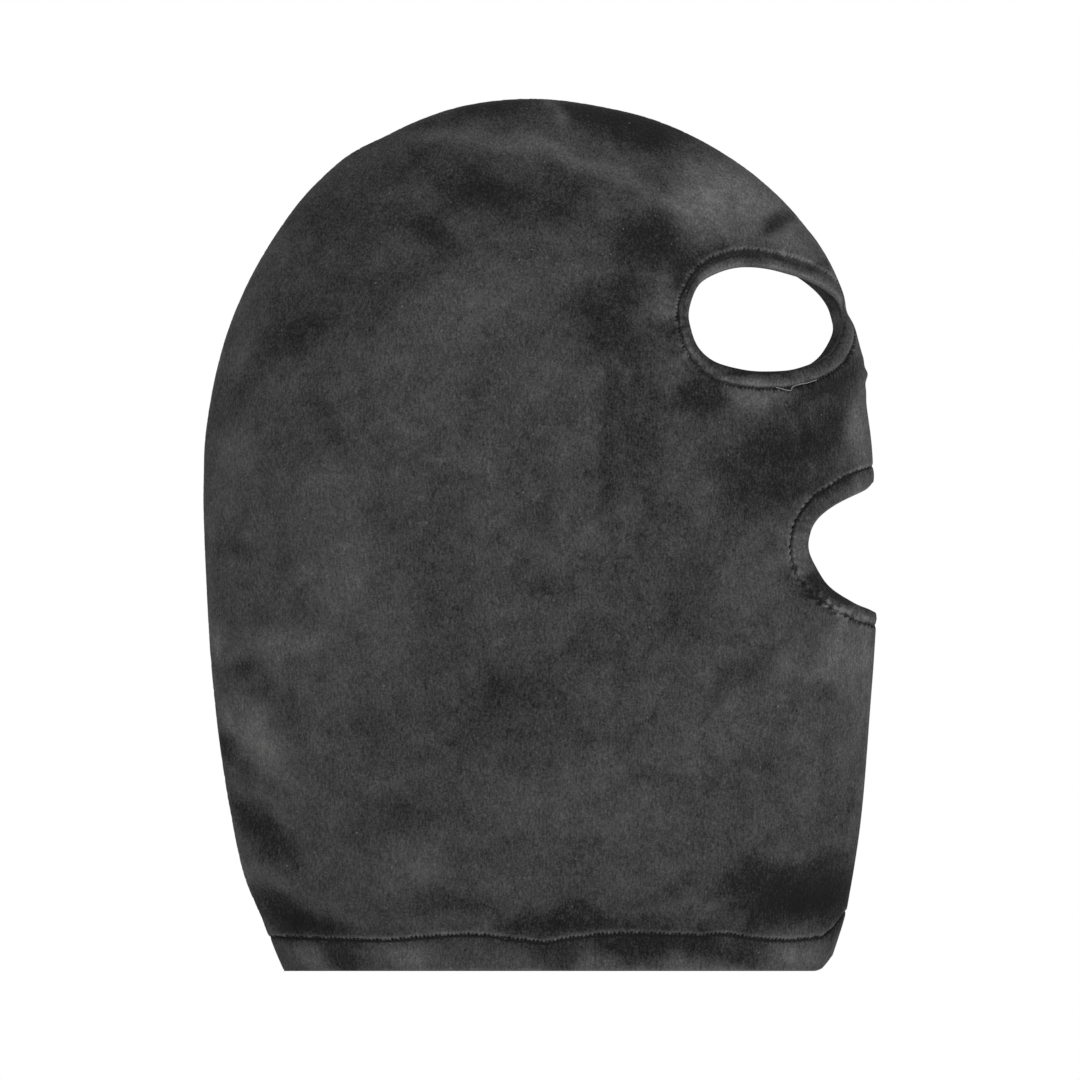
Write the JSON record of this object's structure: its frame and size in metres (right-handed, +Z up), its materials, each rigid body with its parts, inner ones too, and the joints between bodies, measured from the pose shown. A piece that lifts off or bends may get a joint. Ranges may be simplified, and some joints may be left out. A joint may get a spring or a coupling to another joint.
{
  "type": "balaclava",
  "caption": "Close-fitting velour hood for the head and neck, with hemmed holes for the eyes and the mouth, folded down the front and seamed along the crown and back.",
  "frame": {"origin": "in the plane of the neck hem's lower edge, on the plane of symmetry, midway between the hood's foremost and rearmost points", "axes": "+X the way the face looks, +Y the wearer's left, +Z up to the crown"},
  "size_m": [0.2628, 0.096, 0.3399],
  "materials": {
    "charcoal_velour": "short dense pile, charcoal grey, soft and matt with a velvet sheen",
    "sewing_thread": "fine spun polyester thread, charcoal"
  },
  "bodies": {
    "root": {"right_side": "charcoal_velour", "left_side": "charcoal_velour", "neck_hem": "charcoal_velour", "right_eye_hem": "charcoal_velour", "left_eye_hem": "charcoal_velour", "mouth_hem": "charcoal_velour", "right_seam_allowance": "charcoal_velour", "left_seam_allowance": "charcoal_velour", "neck_needle_thread": "sewing_thread", "neck_bobbin_thread": "sewing_thread", "right_eye_needle_thread": "sewing_thread", "right_eye_bobbin_thread": "sewing_thread", "left_eye_needle_thread": "sewing_thread", "left_eye_bobbin_thread": "sewing_thread", "mouth_needle_thread": "sewing_thread", "mouth_bobbin_thread": "sewing_thread", "seam_needle_thread": "sewing_thread", "seam_upper_looper_thread": "sewing_thread", "seam_lower_looper_thread": "sewing_thread"}
  },
  "joints": []
}
